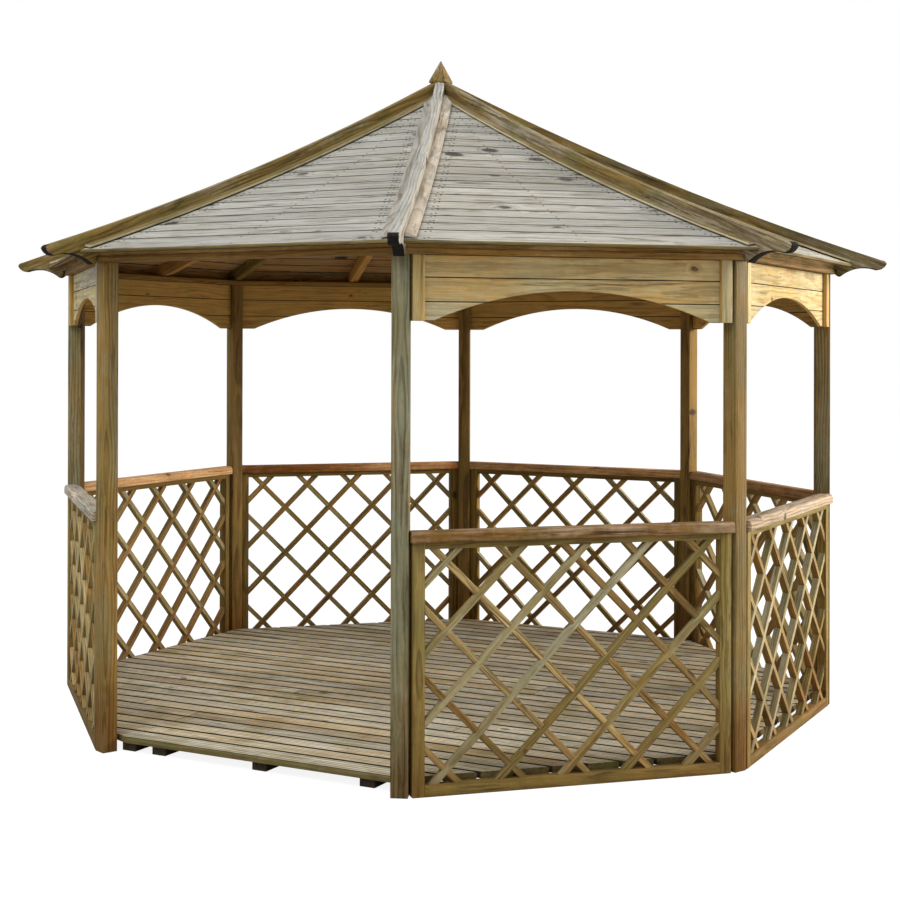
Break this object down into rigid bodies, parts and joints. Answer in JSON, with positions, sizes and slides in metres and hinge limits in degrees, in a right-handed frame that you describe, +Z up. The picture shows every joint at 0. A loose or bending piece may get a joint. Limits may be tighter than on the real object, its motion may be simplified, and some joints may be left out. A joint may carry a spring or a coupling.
{
  "type": "garden gazebo",
  "caption": "Eight-sided open timber garden gazebo with lattice panels, handrails, arched valances, swept boarded roof and deck.",
  "frame": {"origin": "on the ground, under the peak of the roof", "axes": "+Z up; the open entrance bay faces -Y; +X to the right of someone who looks along +Y"},
  "size_m": [4.0992, 4.0992, 3.218],
  "materials": {
    "post_timber": "rough planed, pressure treated and weathered grey-green",
    "lattice_timber": "sawn slats, pressure treated",
    "rail_timber": "planed with rounded top, warm brown",
    "valance_timber": "planed boards, yellow-olive",
    "hip_timber": "sawn, olive brown with dark ends",
    "roof_boards": "weathered pale grey boards",
    "deck_boards": "grooved boards, weathered",
    "frame_timber": "sawn, warm brown"
  },
  "bodies": {
    "root": {"post_1": "post_timber", "post_2": "post_timber", "post_3": "post_timber", "post_4": "post_timber", "post_5": "post_timber", "post_6": "post_timber", "post_7": "post_timber", "post_8": "post_timber", "lattice_panel_1": "lattice_timber", "lattice_panel_2": "lattice_timber", "lattice_panel_3": "lattice_timber", "lattice_panel_4": "lattice_timber", "lattice_panel_5": "lattice_timber", "lattice_panel_6": "lattice_timber", "lattice_panel_7": "lattice_timber", "handrail_1": "rail_timber", "handrail_2": "rail_timber", "handrail_3": "rail_timber", "handrail_4": "rail_timber", "handrail_5": "rail_timber", "handrail_6": "rail_timber", "handrail_7": "rail_timber", "arched_valance_1": "valance_timber", "arched_valance_2": "valance_timber", "arched_valance_3": "valance_timber", "arched_valance_4": "valance_timber", "arched_valance_5": "valance_timber", "arched_valance_6": "valance_timber", "arched_valance_7": "valance_timber", "wall_plates": "frame_timber", "hip_rafter_1": "hip_timber", "hip_rafter_2": "hip_timber", "hip_rafter_3": "hip_timber", "hip_rafter_4": "hip_timber", "hip_rafter_5": "hip_timber", "hip_rafter_6": "hip_timber", "hip_rafter_7": "hip_timber", "hip_rafter_8": "hip_timber", "middle_rafters": "frame_timber", "roof_panel_1": "roof_boards", "roof_panel_2": "roof_boards", "roof_panel_3": "roof_boards", "roof_panel_4": "roof_boards", "roof_panel_5": "roof_boards", "roof_panel_6": "roof_boards", "roof_panel_7": "roof_boards", "roof_panel_8": "roof_boards", "cover_strips": "roof_boards", "king_post": "hip_timber", "finial": "hip_timber", "deck_joists": "frame_timber", "deck": "deck_boards"}
  },
  "joints": []
}
